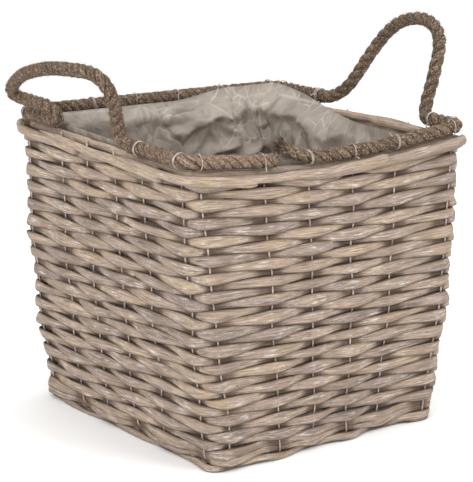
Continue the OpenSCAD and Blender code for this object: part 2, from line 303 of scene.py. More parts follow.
class Bundle:
    """One mesh that rods, strands or wires are swept into."""

    def __init__(self):
        self.bm = bmesh.new()
        self.uv = self.bm.loops.layers.uv.new("UVMap")
        self.tone = self.bm.verts.layers.float.new("tone")
        # A painted shade kept on each point: darkening where rods and strands meet or pass behind each other,
        # standing in for shade
        self.deep = self.bm.verts.layers.float.new("deep")

    def sweep(self, rings, tone=0.5, deep=0.0, shift=0.0, closed=False):
        """Bends a grid into a tube through the rings."""
        n, m = rings.shape[:2]
        steps = n if closed else n - 1
        middle = rings.mean(1)
        length = float(np.linalg.norm(np.diff(middle, axis=0), axis=1).sum())
        girth = float(np.linalg.norm(np.diff(rings[n // 2], axis=0), axis=1).sum()) * m / (m - 1)
        tone = np.broadcast_to(np.asarray(tone, float), n).tolist()
        deep = np.broadcast_to(np.asarray(deep, float), (n, m)).tolist()
        place = rings.tolist()
        made = bmesh.ops.create_grid(self.bm, x_segments=steps, y_segments=m, size=1.0, calc_uvs=True)
        for v in made["verts"]:
            x, y = (v.co.x + 1) / 2, (v.co.y + 1) / 2
            for loop in v.link_loops:
                loop[self.uv].uv = (shift + x * length, shift + y * girth)
            i, j = round(x * steps) % n, round(y * m) % m
            v.co = place[i][j]
            v[self.tone] = tone[i]
            v[self.deep] = deep[i][j]

    def spike(self, foot, tip, radius, tone=0.5):
        """A loose fibre, as a thin three-sided cone."""
        way = tip - foot
        turn = way.to_track_quat("Z", "Y").to_matrix().to_4x4()
        made = bmesh.ops.create_cone(
            self.bm, cap_ends=True, segments=3, radius1=radius, radius2=radius * 0.15, depth=way.length,
            matrix=Matrix.Translation((foot + tip) / 2) @ turn,
        )
        for v in made["verts"]:
            v[self.tone] = tone

    def finish(self, name, material, weld=1e-6):
        bmesh.ops.remove_doubles(self.bm, verts=self.bm.verts, dist=weld)
        ends = [e for e in self.bm.edges if e.is_boundary]
        if ends:
            bmesh.ops.holes_fill(self.bm, edges=ends, sides=0)
        bmesh.ops.recalc_face_normals(self.bm, faces=self.bm.faces)
        for f in self.bm.faces:
            f.smooth = True
        return put(self.bm, name, material)


def put(bm, name, material, shaped=True):
    """Turns a finished bmesh into an object of that name."""
    mesh = bpy.data.meshes.new(name)
    bm.to_mesh(mesh)
    bm.free()
    mesh.materials.append(material)
    if shaped:
        at = np.zeros(len(mesh.vertices) * 3, np.float32)
        mesh.vertices.foreach_get("co", at)
        mesh.vertices.foreach_set("co", hand_made(at.reshape(-1, 3)).astype(np.float32).ravel())
        mesh.update()
    piece = bpy.data.objects.new(name, mesh)
    bpy.context.scene.collection.objects.link(piece)
    return piece


def wander(rng, s, waves):
    """A smooth random line along s, as a sum of waves of (length, size)."""
    turns = 2 * math.pi * s
    return sum(size * np.sin(turns / length + rng.uniform(0, 2 * math.pi)) for length, size in waves)


def settle(piece, slot, *nodes):
    """Sets a piece on the basket in place of CAD nodes."""
    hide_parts(*nodes)
    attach(piece, "basket")


# ---------- materials ----------


class Paint:
    """A node material, with its shader at hand."""

    def __init__(self, name):
        self.material = bpy.data.materials.new(name)
        self.material.use_nodes = True
        self.tree = self.material.node_tree
        self.shader = self.tree.nodes["Principled BSDF"]

    def node(self, kind, **inputs):
        made = self.tree.nodes.new(kind)
        for key, value in inputs.items():
            if key.startswith("_"):
                setattr(made, key[1:], value)
            else:
                self.feed(made, key.replace("_", " "), value)
        return made

    def feed(self, node, key, value):
        socket = node.inputs[int(key[1:])] if key[0] == "i" and key[1:].isdigit() else node.inputs[key]
        if isinstance(value, bpy.types.NodeSocket):
            self.tree.links.new(value, socket)
        else:
            socket.default_value = value

    def grain(self, along, across, detail=4.0, rough=0.6):
        """Noise stretched along a rod, strand or thread, from the piece's own map."""
        where = self.node("ShaderNodeTexCoord").outputs["UV"]
        where = self.node("ShaderNodeMapping", Vector=where, Scale=(along, across, 1)).outputs["Vector"]
        return self.noise(where, 1.0, detail, rough)

    def lumps(self, scale, detail=3.0):
        """Even noise through the object."""
        return self.noise(self.node("ShaderNodeTexCoord").outputs["Object"], scale, detail, 0.6)

    def noise(self, where, scale, detail, rough):
        """Noise at a place, from 0 to 1."""
        made = self.node("ShaderNodeTexNoise", Vector=where, Scale=scale, Detail=detail, Roughness=rough)
        return made.outputs["Fac"]

    def edges(self, where, scale):
        """Distance to the nearest edge between cells."""
        made = self.node("ShaderNodeTexVoronoi", _feature="DISTANCE_TO_EDGE", Vector=where, Scale=scale)
        return made.outputs["Distance"]

    def kept(self, name):
        """A value kept on the mesh's own points."""
        return self.node("ShaderNodeAttribute", _attribute_name=name).outputs["Fac"]

    def ramp(self, fac, low, high, a=0.0, b=1.0):
        return self.node(
            "ShaderNodeMapRange", Value=fac, From_Min=low, From_Max=high, To_Min=a, To_Max=b
        ).outputs["Result"]

    def sum(self, a, b, kind="ADD"):
        made = self.node("ShaderNodeMath", _operation=kind)
        self.feed(made, "i0", a)
        self.feed(made, "i1", b)
        return made.outputs[0]

    def mix(self, fac, a, b, kind="MIX"):
        made = self.node("ShaderNodeMix", _data_type="RGBA", _blend_type=kind)
        self.feed(made, "i0", fac)
        self.feed(made, "i6", a)
        self.feed(made, "i7", b)
        return made.outputs[2]

    def shade(self, colour, level):
        """A colour times a grey level."""
        grey = self.node("ShaderNodeCombineColor", Red=level, Green=level, Blue=level).outputs[0]
        return self.mix(1.0, colour, grey, "MULTIPLY")

    def bump(self, height, distance, strength=1.0, under=None):
        made = self.node("ShaderNodeBump", Height=height, Distance=distance, Strength=strength)
        if under is not None:
            self.feed(made, "Normal", under)
        return made.outputs["Normal"]

    def set(self, **values):
        for key, value in values.items():
            self.feed(self.shader, key.replace("_", " "), value)
        return self.material


def rgba(colour, k=1.0):
    """A colour at k times its brightness, for a shader's socket."""
    return (colour[0] * k, colour[1] * k, colour[2] * k, 1.0)


def willow_material(name, weave, fresh=0.0):
    """Split willow: each rod its own tone, streaked along the grain and rubbed with a chalky wash."""
    p = Paint(name)
    tone = p.sum(p.kept("tone"), p.ramp(p.grain(9, 190), 0.3, 0.7, -0.45, 0.45))
    colour = p.mix(p.ramp(tone, 0.1, 0.9), rgba(weave.grey), rgba(weave.tan))
    pink = p.ramp(p.grain(26, 150), 0.46, 0.56, 0.0, 0.75)
    colour = p.mix(pink, colour, (0.34, 0.262, 0.225, 1))
    streak = p.ramp(p.grain(34, 780, 8.0, 0.75), 0.36, 0.64, 0.42, 1.35)
    colour = p.shade(colour, streak)
    scuffs = p.ramp(p.grain(40, 520, 6.0, 0.75), 0.52, 0.62)
    chalk = p.sum(scuffs, p.ramp(p.lumps(38.0), 0.44, 0.6), "MULTIPLY")
    colour = p.mix(p.sum(chalk, 0.72 - 0.3 * fresh, "MULTIPLY"), colour, rgba(weave.wash))
    # Painted shade: the rods darken towards a deep brown where the painted shade kept on their points is
    # high, along their edges and behind stakes
    gloom = p.mix(p.kept("deep"), (1, 1, 1, 1), (0.26, 0.19, 0.145, 1))
    colour = p.mix(1.0, colour, gloom, "MULTIPLY")
    ridges = p.bump(p.grain(30, 700, 8.0, 0.75), 0.0012, 0.9)
    ridges = p.bump(p.grain(40, 110, 3.0), 0.0014, 0.6, ridges)
    rough = p.ramp(p.grain(20, 200), 0.3, 0.7, 0.62, 0.86)
    return p.set(Base_Color=colour, Roughness=rough, Normal=ridges, Specular_IOR_Level=0.2)


def rope_material(rope):
    """Brown laid fibre, with fine threads along each strand and paler rubbed patches."""
    p = Paint("laid_rope")
    brown = rope.brown
    thread = p.ramp(p.grain(110, 900, 8.0, 0.8), 0.38, 0.62, 0.25, 2.0)
    colour = p.mix(p.ramp(p.kept("tone"), 0.0, 1.0), rgba(brown), (0.27, 0.185, 0.13, 1))
    colour = p.mix(p.ramp(p.kept("tone"), 0.0, -0.15), colour, rgba(brown, 0.4))
    colour = p.mix(p.ramp(p.lumps(300.0), 0.45, 0.62, 0.0, 0.6), colour, rgba(brown, 0.45))
    colour = p.mix(p.ramp(p.lumps(420.0), 0.52, 0.60, 0.0, 0.7), colour, (0.36, 0.275, 0.21, 1))
    colour = p.shade(colour, thread)
    # Painted shade: the rope darkens where the painted shade kept on its points is high, in the grooves
    # between strands
    colour = p.shade(colour, p.ramp(p.kept("deep"), 0.0, 1.0, 1.0, 0.16))
    fuzz = p.bump(p.grain(130, 1000, 8.0, 0.8), 0.0022, 1.0)
    fuzz = p.bump(p.lumps(330.0, 5.0), 0.0024, 0.9, fuzz)
    return p.set(Base_Color=colour, Roughness=0.93, Normal=fuzz, Specular_IOR_Level=0.15)


def steel_material():
    """Dull galvanised wire."""
    p = Paint("galvanised_wire")
    # The brown in this grey wire's colour is a painted reflection of the willow round it
    colour = p.mix(p.ramp(p.lumps(140.0), 0.35, 0.65), (0.27, 0.23, 0.20, 1), (0.50, 0.445, 0.405, 1))
    rough = p.ramp(p.lumps(220.0), 0.3, 0.7, 0.34, 0.6)
    dull = p.bump(p.lumps(900.0), 0.0002, 0.4)
    return p.set(Base_Color=colour, Roughness=rough, Normal=dull, Metallic=0.25)


def film_material(liner):
    """Cloudy film, with sharp creases between slack panels, lit along their lines by painted highlights."""
    p = Paint("liner_film")
    where = p.node("ShaderNodeTexCoord").outputs["Object"]
    drift = p.node("ShaderNodeTexNoise", Vector=where, Scale=7.0, Detail=3.0).outputs["Color"]
    bent = p.node("ShaderNodeMix", _data_type="VECTOR", Factor=0.035)
    p.feed(bent, "i4", where)
    p.feed(bent, "i5", drift)
    lean, stretch = (0.5, 0.6, 0.3), (1.0, 1.9, 0.8)
    bent = p.node("ShaderNodeMapping", Vector=bent.outputs[1], Rotation=lean, Scale=stretch).outputs[0]
    cells, small, fine = (p.edges(bent, scale) for scale in (8.0, 19.0, 41.0))

    def creases(edges, width, strength, patches, low, high):
        """Thin lines along the cells' edges, that come and go in patches."""
        line = p.ramp(edges, 0.0, width, strength, 0.0)
        return p.sum(line, p.ramp(p.lumps(patches), low, high), "MULTIPLY")

    crease_highlight = p.sum(
        creases(cells, 0.014, 0.9, 9.0, 0.42, 0.62), creases(small, 0.03, 0.8, 13.0, 0.44, 0.60), "MAXIMUM"
    )
    crease_highlight = p.sum(crease_highlight, creases(fine, 0.05, 0.6, 17.0, 0.48, 0.62), "MAXIMUM")
    cloud = p.mix(p.ramp(p.lumps(11.0), 0.3, 0.7), rgba(liner.tint, 0.78), rgba(liner.tint, 1.12))
    # Painted highlight: the film is lightened towards a pale colour along the creases, standing in for light
    # glancing off them; the same lines also make the film more opaque
    colour = p.mix(p.sum(crease_highlight, 0.3, "MULTIPLY"), cloud, (0.72, 0.67, 0.62, 1))
    alpha = p.sum(p.ramp(p.lumps(8.0), 0.3, 0.7, 0.84, 0.96), p.sum(crease_highlight, 0.3, "MULTIPLY"))
    folds = p.bump(cells, 0.02, 0.7)
    folds = p.bump(small, 0.012, 0.8, folds)
    folds = p.bump(fine, 0.004, 0.6, folds)
    return p.set(Base_Color=colour, Roughness=0.42, Normal=folds, Alpha=alpha, Specular_IOR_Level=0.35)


# ---------- willow ----------


def lay_rod(bundle, rng, s, z, q, weave, size, height, tones, mid):
    """Sweeps one rod. q is 1 where it stands outside a stake and -1 where it passes inside, and mid is how
    far its middle then is from the middle of the stake."""
    points, out = on_wall(s, z)
    points = points + out * (q * mid)[:, None]
    twist = wander(rng, s, ((2.3, 0.16), (5.1, 0.2), (0.9, 0.07)))
    uneven = 1 + wander(rng, s, ((1.7, 0.06), (3.9, 0.07), (0.37, 0.03)))
    thick = weave.rod_thickness * (0.5 + 0.5 * size) * uneven
    rings = rings_round(points, out, height * size, thick, twist, 12, 0.8, 0.8)
    # Painted shade along its two edges, where it meets the rods above and below, and where a stake hides it
    edge = abs(np.cos(np.linspace(0, 2 * math.pi, 12, endpoint=False))) ** 5
    stake_shade = 0.75 * step_up(-q, 0.45, 0.95)
    bundle.sweep(rings, tones, np.maximum(0.95 * edge[None], stake_shade[:, None]), rng.uniform(0, 60))


def weave_course(bundle, rng, low, high, first, weave, steps=8):
    """One course of two rods, each woven out and in past the stakes for half of the way round."""
    z, pitch = (low + high) / 2, high - low + 0.0004
    inside = [i for i in range(ROUND) if first * (-1) ** i < 0]
    a = rng.choice(inside)
    b = a + rng.choice((10, 12, 14))
    mid = weave.wire_room + weave.rod_thickness / 2
    # Two draws are passed over, so that every rod after this keeps its own
    for _ in range(2):
        rng.random()
    for start, end in ((a, b), (b, a + ROUND)):
        s = np.arange(start - 0.45, end + 0.5, 1 / steps)
        part = (s - s[0]) / (s[-1] - s[0])
        q = first * np.cos(math.pi * s)
        places = np.arange(start - 2, end + 3)
        fat = np.interp(s, places, [rng.uniform(0.86, 1.16) for _ in places])
        rise = np.interp(s, places, [rng.uniform(-1, 1) for _ in places]) * 0.0012
        ends = np.clip(np.minimum((s - s[0]) * 2.2 + 0.55, (s[-1] - s) * 2.2 + 0.2), 0, 1)
        size = (1.07 - 0.16 * part) * ends
        shape = 1.03 + weave.bulge * np.clip(q, 0, 1) ** 1.1 * fat + 0.12 * np.clip(-q, 0, 1)
        tone = rng.uniform(0.05, 0.95)
        tones = np.clip(tone + np.interp(s, places, [rng.uniform(-0.2, 0.2) for _ in places]), 0, 1)
        depth = q * (1 + wander(rng, s, ((3.1, 0.06), (7.0, 0.06))))
        lay_rod(bundle, rng, s, z + rise, depth, weave, size, pitch * shape, tones, mid)


class BASKET_OT_weave_walls(bpy.types.Operator):
    """Weave the courses of the four walls"""

    bl_idname = "basket.weave_walls"
    bl_label = "Weave walls"

    def execute(self, context):
        weave = context.scene.basket_weave
        willow = willow_material("washed_willow", weave)
        rng = random.Random(11)
        for k, name in enumerate(COURSES):
            low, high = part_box(name)
            bundle = Bundle()
            weave_course(bundle, rng, low.z, high.z, 1 if k % 2 else -1, weave)
            settle(bundle.finish("rods_" + name, willow), "willow", name)
        return {"FINISHED"}


class BASKET_OT_lay_base(bpy.types.Operator):
    """Lay the base border and weave the floor of the basket"""

    bl_idname = "basket.lay_base"
    bl_label = "Lay base"

    def execute(self, context):
        weave = context.scene.basket_weave
        willow = bpy.data.materials["washed_willow"]
        rng = random.Random(23)
        low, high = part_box("base_border")
        bundle = Bundle()
        half = (high.z - low.z) / 2
        for layer in (0, 1):
            start = low.z + half * layer
            weave_course(bundle, rng, start + 0.0006, start + half, 1 - 2 * layer, weave)
        settle(bundle.finish("base_border_rods", willow), "willow", "base_border")

        low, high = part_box("base_weave")
        floor = Bundle()
        rods = 33
        pitch = (high.y - low.y) / rods
        middle = (low.z + high.z) / 2
        reach = stake_place(np.arange(STAKES), wall_size(middle)[0] - corner_radius(middle))
        for i in range(rods):
            y = low.y + pitch * (i + 0.5)
            over = max(0.0, abs(y) + pitch / 2 - (high.y - corner_radius(middle)))
            cut = corner_radius(middle) - math.sqrt(max(0.0, corner_radius(middle) ** 2 - over**2))
            edge = high.x - cut
            x = np.linspace(-edge, edge, 61)
            crossings = np.concatenate([[-edge - 0.03], reach, [edge + 0.03]])
            phase = np.interp(x, crossings, np.arange(-1, STAKES + 1))
            q = (1 if i % 2 == 0 else -1) * np.cos(math.pi * phase)
            points = np.stack([x, y + wander(rng, x, ((0.21, 0.0005),)), middle + q * 0.00425], -1)
            wide = pitch * (1.02 + 0.12 * np.abs(q)) * rng.uniform(0.92, 1.02)
            under = np.broadcast_to([0.0, 0.0, -1.0], points.shape)
            rings = rings_round(points, under, wide, 0.0048, 0.0, 8)
            # Each floor rod carries a light, even painted shade over all its points
            floor.sweep(rings, rng.uniform(0.15, 0.8), 0.1, rng.uniform(0, 60))
        settle(floor.finish("floor_rods", willow), "willow", "base_weave")
        return {"FINISHED"}


class BASKET_OT_lay_border(bpy.types.Operator):
    """Lay the long tapered rods of the top border"""

    bl_idname = "basket.lay_border"
    bl_label = "Lay border"

    def execute(self, context):
        weave = context.scene.basket_weave
        pale = willow_material("pale_willow", weave, 1.0)
        rng = random.Random(5)
        low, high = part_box("border_outer")
        radius = (high.z - low.z) / 2
        z = (low.z + high.z) / 2
        off = radius + 0.00185
        for name, side, lean in (("border_outer", 1, 1.0), ("border_inner", -1, 0.3)):
            bundle = Bundle()
            for i in range(10):
                start = i * 2.4 - 0.75 + rng.uniform(-0.35, 0.35)
                s = np.arange(start, start + 4.1 + rng.uniform(-0.5, 0.5), 0.1)
                part = (s - s[0]) / (s[-1] - s[0])
                down = 1 if math.floor((start + 2) / STAKES) % 2 == 0 else -1
                drop = -(0.002 + part * 0.0095) * lean if down > 0 else -(0.0115 - part * 0.0095) * lean
                ends = np.clip(np.minimum((s - s[0]) * 5 + 0.72, (s[-1] - s) * 1.6 + 0.12), 0, 1)
                wide = 2 * radius * (1.06 - 0.42 * part) * ends
                points, out = on_wall(s, z + 0.003 + drop + wander(rng, s, ((2.7, 0.0007), (1.1, 0.0004))))
                away = off + (0.0105 - abs(drop)) * 0.1 + 0.002 * (side > 0)
                points = points + out * (side * away)[:, None]
                height = wide * (1.14 if side > 0 else 0.96)
                rings = rings_round(points, out, height, wide * 0.94, wander(rng, s, ((3.0, 0.1),)), 12)
                tones = rng.uniform(0.4, 1.0) + wander(rng, s, ((3.3, 0.08),))
                bundle.sweep(rings, tones, 0.0, rng.uniform(0, 60))
            # A plain rod under the outer ones, that closes the wall up to them
            if side > 0:
                s = np.arange(0, ROUND, 0.1)
                points, out = on_wall(s, z - 0.005 + wander(rng, s, ((12, 0.0005), (4.8, 0.0004))))
                rings = rings_round(points + out * off, out, 0.0105, 0.008, 0.0, 10)
                # The plain rod carries painted shade over all its points, for the shade under the outer rods
                bundle.sweep(rings, 0.55, 0.3, 0.0, closed=True)
            settle(bundle.finish(name + "_rods", pale), "willow", name)
        return {"FINISHED"}


# ---------- rope ----------

# Routes of the handles: out from the rim, along the wall from the front foot, above the rim
LEFT_ROUTE = (
    (0, 0, 0), (0, 0.006, 0), (0.002, 0.013, 0.003), (0.006, 0.017, 0.010), (0.010, 0.017, 0.021),
    (0.017, 0.009, 0.037), (0.027, -0.003, 0.056), (0.039, -0.013, 0.075), (0.049, -0.012, 0.090),
    (0.055, 0.006, 0.098), (0.056, 0.048, 0.097), (0.053, 0.105, 0.091), (0.047, 0.165, 0.080),
    (0.040, 0.224, 0.064), (0.030, 0.272, 0.044), (0.020, 0.296, 0.030), (0.014, 0.290, 0.0235),
    (0.012, 0.268, 0.0225), (0.012, 0.240, 0.0224), (0.012, 0.216, 0.0224), (0.012, 0.208, 0.0224),
)
RIGHT_ROUTE = (
    (0, 0, 0), (0, 0.006, 0), (0.001, 0.012, 0.003), (0.004, 0.016, 0.012), (0.008, 0.016, 0.029),
    (0.014, 0.015, 0.051), (0.022, 0.017, 0.075), (0.031, 0.022, 0.097), (0.038, 0.034, 0.116),
    (0.043, 0.055, 0.128), (0.044, 0.084, 0.132), (0.041, 0.116, 0.125), (0.036, 0.140, 0.109),
    (0.029, 0.157, 0.088), (0.020, 0.170, 0.064), (0.012, 0.181, 0.042), (0.006, 0.194, 0.023),
    (0.002, 0.212, 0.009), (0, 0.231, 0.002), (0, 0.243, 0), (0, 0.249, 0),
)
STRAND_SIDES = 10
LEFT_FEET = (-0.086, 0.122)
RIGHT_FEET = (-0.153, 0.096)
LOWER_END = -0.084
# The upper end, laid beside and above the lower one: along X, inwards and up
UPPER_END = (
    (-0.026, 0, 0), (-0.036, 0.002, 0.001), (-0.046, 0.006, 0.004),
    (-0.058, 0.011, 0.009), (-0.070, 0.015, 0.012),
)
# How much of its route's height the right handle keeps
RIGHT_RISE = 0.965


def rim_line():
    """Half width, half depth, height and corner radius of the rope's line round the rim."""
    low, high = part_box("rim_rope_back")
    r = (high.z - low.z) / 2
    corner = bpy.context.scene.basket_weave.rim_corner - FACE
    return high.x - r, high.y - r, (low.z + high.z) / 2, corner


def smooth_line(p, steps=8):
    """A smooth curve through the points."""
    p = np.asarray(p, float)
    padded = np.vstack([p[:1], p, p[-1:]])
    t = np.arange(steps)[:, None] / steps
    made = []
    for a, b, c, d in zip(padded[:-3], padded[1:-2], padded[2:-1], padded[3:]):
        square, cube = 2 * a - 5 * b + 4 * c - d, 3 * b - a - 3 * c + d
        made.append(0.5 * (2 * b + (c - a) * t + square * t**2 + cube * t**3))
    return np.vstack([*made, p[-1:]])


def rim_turn(sx, sy, start, end, w, d, z, r):
    """The rope's line round the corner at (sx, sy), between two angles."""
    a = np.radians(np.linspace(start, end, 13))
    return np.stack([sx * (w - r) + r * np.cos(a), sy * (d - r) + r * np.sin(a), 0 * a + z], -1)


def rope_sections():
    """The rope's line in its five lengths, in the order that it was laid."""
    w, d, z, r = rim_line()
    # The left handle folds back under its own end
    out, span, up = LEFT_ROUTE[-1]
    turn = np.radians(np.arange(20, 181, 20))
    back = (1 + np.cos(turn)) / 2
    fold = np.stack([out * back, span - math.hypot(out, up) / 2 * np.sin(turn), up * back], -1)
    left = np.vstack([smooth_line(LEFT_ROUTE), fold])
    right = smooth_line(RIGHT_ROUTE)[::-1] * (1, 1, RIGHT_RISE)
    tail = smooth_line([(x, -d + y, z + up) for x, y, up in UPPER_END])
    corner = {
        (sx, sy): rim_turn(sx, sy, start, end, w, d, z, r)
        for sx, sy, start, end in ((-1, -1, 270, 180), (-1, 1, 180, 90), (1, 1, 90, 0), (1, -1, 0, -90))
    }
    start, left_front, left_back = [[LOWER_END, -d, z]], [[-w, LEFT_FEET[0], z]], [[-w, LEFT_FEET[1], z]]
    right_front, right_back = [[w, RIGHT_FEET[0], z]], [[w, RIGHT_FEET[1], z]]
    return {
        "rim_rope_left": np.vstack([start, corner[-1, -1], left_front]),
        "rope_handle_left": np.stack([-w - left[:, 0], LEFT_FEET[0] + left[:, 1], z + left[:, 2]], -1),
        "rim_rope_back": np.vstack([left_back, corner[-1, 1], corner[1, 1], right_back]),
        "rope_handle_right": np.stack([w + right[:, 0], RIGHT_FEET[0] + right[:, 1], z + right[:, 2]], -1),
        "rim_rope_right": np.vstack([right_front, corner[1, -1], tail]),
    }


def evenly(points, step):
    """Points about a step apart along a line, and how far along it each one is."""
    gaps = np.linalg.norm(np.diff(points, axis=0), axis=1)
    keep = np.concatenate([[True], gaps > 1e-7])
    points = points[keep]
    along = np.concatenate([[0], np.cumsum(np.linalg.norm(np.diff(points, axis=0), axis=1))])
    count = max(2, round(along[-1] / step))
    at = np.linspace(0, along[-1], count + 1)
    return np.stack([np.interp(at, along, points[:, k]) for k in range(3)], -1), at


def carried(points):
    """A side direction carried along a line without turning about it."""
    way = unit(np.gradient(points, axis=0))
    side = np.zeros_like(points)
    side[0] = unit(np.cross(way[0], [0.0, 0.0, 1.0]))
    for i in range(1, len(points)):
        axis = np.cross(way[i - 1], way[i])
        v = side[i - 1]
        v = v + np.cross(axis, v)
        side[i] = unit(v - (v @ way[i]) * way[i])
    return way, side


class BASKET_OT_lay_rope(bpy.types.Operator):
    """Lay the one rope round the rim and through both handles"""

    bl_idname = "basket.lay_rope"
    bl_label = "Lay rope"

    def execute(self, context):
        rope = context.scene.basket_rope
        fibre = rope_material(rope)
        rng = random.Random(31)
        radius = rope.diameter / 2
        step = rope.lay / 15
        lines, marks, at = [], [0], []
        length = 0.0
        for name, points in rope_sections().items():
            line, along = evenly(points, step)
            lines.append(line if not lines else line[1:])
            at.append((along if not at else along[1:]) + length)
            length += float(along[-1])
            marks.append(marks[-1] + len(line) - 1)
        points, along = np.vstack(lines), np.concatenate(at)
        way, side = carried(points)
        other = np.cross(way, side)
        jitter = wander(rng, along, ((0.21, 0.05), (0.093, 0.04)))
        bodies = {"rope_handle_left": "handle_left", "rope_handle_right": "handle_right"}
        # Painted shade in the grooves between the strands
        groove_shade = np.clip(0.7 - 1.5 * np.sin(np.linspace(0, 2 * math.pi, STRAND_SIDES, endpoint=False)), 0, 1)
        for part, name in enumerate(rope_sections()):
            bundle = Bundle()
            first, last = marks[part], marks[part + 1]
            pick = slice(first, last + 1)
            for k in range(3):
                angle = 2 * math.pi * (along / rope.lay + k / 3) + jitter * 2
                radial = side * np.cos(angle)[:, None] + other * np.sin(angle)[:, None]
                fat = 1 + wander(rng, along, ((0.05, 0.03), (0.021, 0.03), (0.013, 0.02)))
                line = points + radial * radius * 0.48
                strand = radius * fat[pick]
                rings = rings_round(line[pick], radial[pick], strand * 1.14, strand * 1.02, 0.0, STRAND_SIDES)
                tone = 0.28 + wander(rng, along[pick], ((0.4, 0.12), (0.11, 0.08)))
                tone = tone + self.warmth(points[pick])
                bundle.sweep(rings, np.clip(tone, 0, 1), groove_shade[None], rng.uniform(0, 60))
            hairs = int(rope.hairs * (along[last] - along[first]))
            self.hair(bundle, rng, points[pick], way[pick], side[pick], other[pick], radius, hairs)
            if name == "rim_rope_right":
                self.fray(bundle, rng, Vector(points[-1]), Vector(way[-1]), radius, 260, 0.015)
            if name == "rim_rope_left":
                self.fray(bundle, rng, Vector(points[0]), -Vector(way[0]), radius, 60, 0.011)
            piece = bundle.finish("laid_" + name, fibre, 1e-7)
            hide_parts(name)
            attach(piece, bodies.get(name, "basket"))
        return {"FINISHED"}

    @staticmethod
    def warmth(points):
        """The rope is paler and pinker round the near front corner."""
        near = np.exp(-((points[:, 0] + 0.17) ** 2 + (points[:, 1] + 0.2) ** 2) / 0.012)
        return near * 0.45 * (points[:, 2] < 0.44)

    @staticmethod
    def hair(bundle, rng, points, way, side, other, radius, count):
        for _ in range(count):
            i = rng.randrange(1, len(points) - 1)
            a = rng.uniform(0, 2 * math.pi)
            out = side[i] * math.cos(a) + other[i] * math.sin(a)
            foot = points[i] + way[i] * rng.uniform(-0.0017, 0.0017) + out * radius * 0.86
            length = rng.uniform(0.0022, 0.0065)
            lean = way[i] * rng.uniform(-1, 1) + out * rng.uniform(0.35, 1.1)
            lean = lean + np.cross(way[i], out) * rng.uniform(-0.7, 0.7)
            tip = foot + unit(lean) * length
            bundle.spike(Vector(foot), Vector(tip), rng.uniform(0.00012, 0.00028), rng.uniform(0.1, 0.9))

    @staticmethod
    def fray(bundle, rng, end, way, radius, count, length):
        side = way.cross(Vector((0, 0, 1))).normalized()
        up = side.cross(way).normalized()
        for _ in range(count):
            a, r = rng.uniform(0, 2 * math.pi), radius * math.sqrt(rng.random()) * 0.95
            spread = side * math.cos(a) + up * math.sin(a)
            foot = end + spread * r - way * 0.006
            lean = way + spread * rng.uniform(0.1, 1.1) * (r / radius)
            lean = (lean + Vector([rng.uniform(-0.25, 0.25) for _ in range(3)])).normalized()
            middle = foot + lean * length * rng.uniform(0.35, 0.6)
            flick = (lean + spread * rng.uniform(-0.3, 0.9)).normalized()
            tip = middle + flick * length * rng.uniform(0.2, 0.5)
            thick = rng.uniform(0.0006, 0.0013)
            tone = rng.uniform(-0.2, 0.45)
            bundle.spike(foot, middle, thick, tone)
            bundle.spike(middle - lean * 0.001, tip, thick * 0.6, tone)


def between(y, feet):
    """Whether a place on a side wall is between a handle's feet, where there is no rope on the rim."""
    return feet[0] < y < feet[1]


